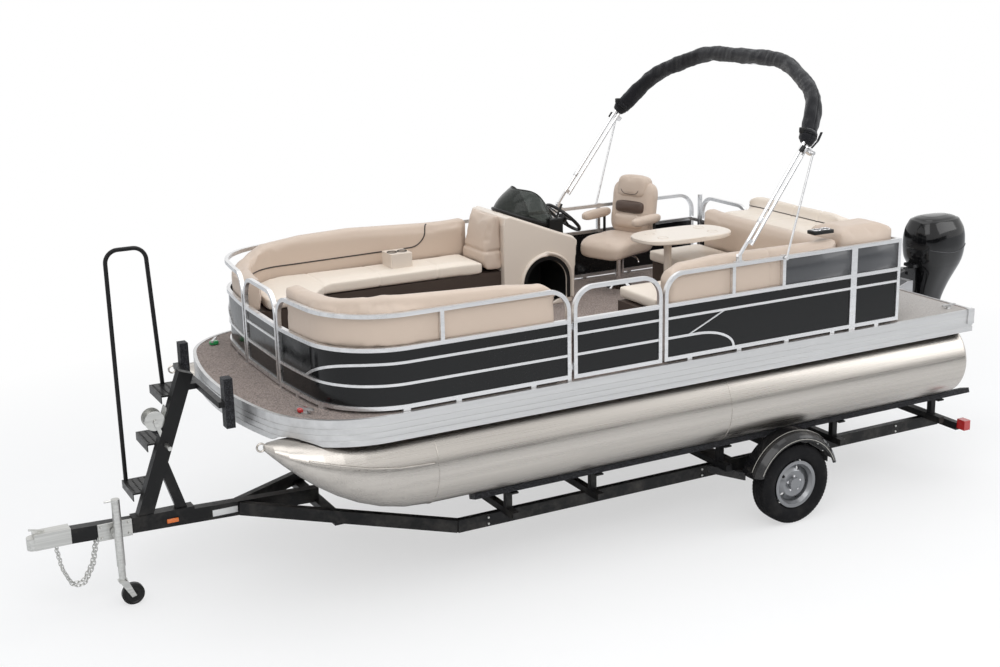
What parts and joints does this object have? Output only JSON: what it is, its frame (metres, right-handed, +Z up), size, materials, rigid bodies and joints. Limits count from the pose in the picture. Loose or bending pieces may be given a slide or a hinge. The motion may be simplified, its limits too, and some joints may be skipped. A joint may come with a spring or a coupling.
{
  "type": "pontoon boat on bunk trailer",
  "caption": "Twin-tube pontoon boat with railed deck, gates, lounges, helm, folding canopy frame and tilting outboard, standing on its single-axle bunk trailer.",
  "frame": {"origin": "middle of the whole length and width, on the floor under the tyres", "axes": "+X towards the bow and the trailer's coupler, +Y to port, +Z up"},
  "size_m": [8.271, 2.696, 3.4082],
  "materials": {
    "pontoon_metal": "brushed",
    "frame_metal": "mill",
    "trim_metal": "satin extruded",
    "rail_metal": "bright anodised",
    "carpet": "cut pile",
    "dark_panel": "gloss",
    "seat_base": "moulded",
    "tan_vinyl": "grained",
    "console_beige": "moulded",
    "black_plastic": "satin",
    "smoked_glass": "polished",
    "chrome": "polished",
    "canvas": "woven",
    "motor_black": "gloss",
    "cowl_black": "gloss",
    "trailer_paint": "semi-gloss",
    "bunk_carpet": "looped",
    "fender_gloss": "gloss",
    "red_lens": "clear lens",
    "zinc": "zinc plated",
    "tyre": "moulded",
    "rim_silver": "silver enamel"
  },
  "bodies": {
    "boat_on_trailer": {"pontoon_port": "pontoon_metal", "pontoon_starboard": "pontoon_metal", "deck_frame": "frame_metal", "deck_floor": "carpet", "deck_trim": "trim_metal", "motor_pod": "frame_metal", "fence_rails_bow": "rail_metal", "fence_rails_aft": "rail_metal", "fence_panels_bow": "dark_panel", "fence_panels_aft": "dark_panel", "lounge_bases": "seat_base", "lounge_seat_port": "tan_vinyl", "lounge_seat_starboard": "tan_vinyl", "lounge_back_port": "tan_vinyl", "lounge_back_starboard": "tan_vinyl", "aft_base": "seat_base", "aft_seat": "tan_vinyl", "aft_back": "tan_vinyl", "helm_console": "console_beige", "helm_controls": "black_plastic", "windscreen": "smoked_glass", "helm_pedestal": "chrome", "table": "console_beige", "cup_caddy": "console_beige", "outboard_clamp": "motor_black", "trailer_frame": "trailer_paint", "trailer_bunks": "bunk_carpet", "trailer_axle": "trailer_paint", "trailer_fenders": "fender_gloss", "tail_lights": "red_lens", "boarding_stand": "trailer_paint", "winch": "zinc", "jack_bracket": "zinc", "coupler": "zinc", "safety_chains": "zinc"},
    "gate_side": {"gate_side_frame": "rail_metal", "gate_side_panel": "dark_panel"},
    "gate_bow": {"gate_bow_frame": "rail_metal", "gate_bow_panel": "dark_panel"},
    "gate_stern": {"gate_stern_frame": "rail_metal", "gate_stern_panel": "dark_panel"},
    "sunpad_lid": {"sunpad_lid": "tan_vinyl"},
    "steering_wheel": {"steering_wheel": "black_plastic"},
    "helm_seat": {"helm_seat": "tan_vinyl"},
    "bimini": {"bimini_bows": "rail_metal", "bimini_boot": "canvas"},
    "bimini_braces": {"bimini_braces": "rail_metal"},
    "outboard_swivel": {"outboard_swivel": "motor_black"},
    "outboard": {"outboard_leg": "motor_black", "outboard_cowl": "cowl_black"},
    "propeller": {"propeller": "motor_black"},
    "stern_ladder": {"stern_ladder": "rail_metal"},
    "wheel_port": {"tyre_port": "tyre", "rim_port": "rim_silver"},
    "wheel_starboard": {"tyre_starboard": "tyre", "rim_starboard": "rim_silver"},
    "jack_leg": {"jack_leg": "zinc"},
    "jack_ram": {"jack_ram": "zinc"},
    "jack_fork": {"jack_fork": "zinc"},
    "jack_wheel": {"jack_wheel": "black_plastic"}
  },
  "joints": [
    {"name": "gate_side_swing", "type": "hinge", "parent": "boat_on_trailer", "child": "gate_side", "pos_m": [0.725, 1.233, 1.64], "axis": [0, 0, 1], "range_deg": [0, 90]},
    {"name": "gate_bow_swing", "type": "hinge", "parent": "boat_on_trailer", "child": "gate_bow", "pos_m": [2.41952, -0.3355, 1.64], "axis": [0, 0, 1], "range_deg": [0, 90]},
    {"name": "gate_stern_swing", "type": "hinge", "parent": "boat_on_trailer", "child": "gate_stern", "pos_m": [-1.9935, -0.4055, 1.64], "axis": [0, 0, 1], "range_deg": [0, 90]},
    {"name": "sunpad_lift", "type": "hinge", "parent": "boat_on_trailer", "child": "sunpad_lid", "pos_m": [-1.5895, 0.25, 2.066], "axis": [0, 1, 0], "range_deg": [0, 80]},
    {"name": "helm_seat_swivel", "type": "hinge", "parent": "boat_on_trailer", "child": "helm_seat", "pos_m": [-1.0055, -0.865, 1.7], "axis": [0, 0, 1], "continuous": true},
    {"name": "bimini_fold", "type": "hinge", "parent": "boat_on_trailer", "child": "bimini", "pos_m": [-0.6395, 0, 2.096], "axis": [0, -1, 0], "range_deg": [0, 42]},
    {"name": "bimini_brace_fold", "type": "hinge", "parent": "bimini", "child": "bimini_braces", "pos_m": [-1.24103, 0, 2.76964], "axis": [0, -1, 0], "range_deg": [0, 26]},
    {"name": "outboard_tilt", "type": "hinge", "parent": "boat_on_trailer", "child": "outboard_swivel", "pos_m": [-3.3055, 0, 1.418], "axis": [0, 1, 0], "range_deg": [0, 65]},
    {"name": "outboard_steer", "type": "hinge", "parent": "outboard_swivel", "child": "outboard", "pos_m": [-3.4455, 0, 1.26], "axis": [0, 0, 1], "range_deg": [-30, 30]},
    {"name": "propeller_spin", "type": "hinge", "parent": "outboard", "child": "propeller", "pos_m": [-3.8955, 0, 0.705], "axis": [1, 0, 0], "continuous": true},
    {"name": "steering_wheel_turn", "type": "hinge", "parent": "boat_on_trailer", "child": "steering_wheel", "pos_m": [-0.4505, -0.85, 2.062], "axis": [-0.682, 0, 0.7314], "range_deg": [-450, 450]},
    {"name": "ladder_fold", "type": "hinge", "parent": "boat_on_trailer", "child": "stern_ladder", "pos_m": [-2.9155, -0.8, 1.434], "axis": [0, -1, 0], "range_deg": [0, 262]},
    {"name": "wheel_port_spin", "type": "hinge", "parent": "boat_on_trailer", "child": "wheel_port", "pos_m": [-1.1645, 1.25, 0.309], "axis": [0, 1, 0], "continuous": true},
    {"name": "wheel_starboard_spin", "type": "hinge", "parent": "boat_on_trailer", "child": "wheel_starboard", "pos_m": [-1.1645, -1.25, 0.309], "axis": [0, 1, 0], "continuous": true},
    {"name": "jack_swing", "type": "hinge", "parent": "boat_on_trailer", "child": "jack_leg", "pos_m": [3.5675, 0.135, 0.512], "axis": [0, 1, 0], "range_deg": [0, 90]},
    {"name": "jack_extend", "type": "slide", "parent": "jack_leg", "child": "jack_ram", "axis": [0, 0, 1], "range_m": [0, 0.085]},
    {"name": "jack_caster_swivel", "type": "hinge", "parent": "jack_ram", "child": "jack_fork", "pos_m": [3.5675, 0.135, 0.187], "axis": [0, 0, 1], "continuous": true},
    {"name": "jack_wheel_spin", "type": "hinge", "parent": "jack_fork", "child": "jack_wheel", "pos_m": [3.5075, 0.135, 0.076], "axis": [0, 1, 0], "continuous": true}
  ],
  "couplings": [
    {"joint": "steering_wheel_turn", "follows": "outboard_steer", "ratio": -15},
    {"joint": "bimini_brace_fold", "follows": "bimini_fold", "ratio": 0.6}
  ]
}
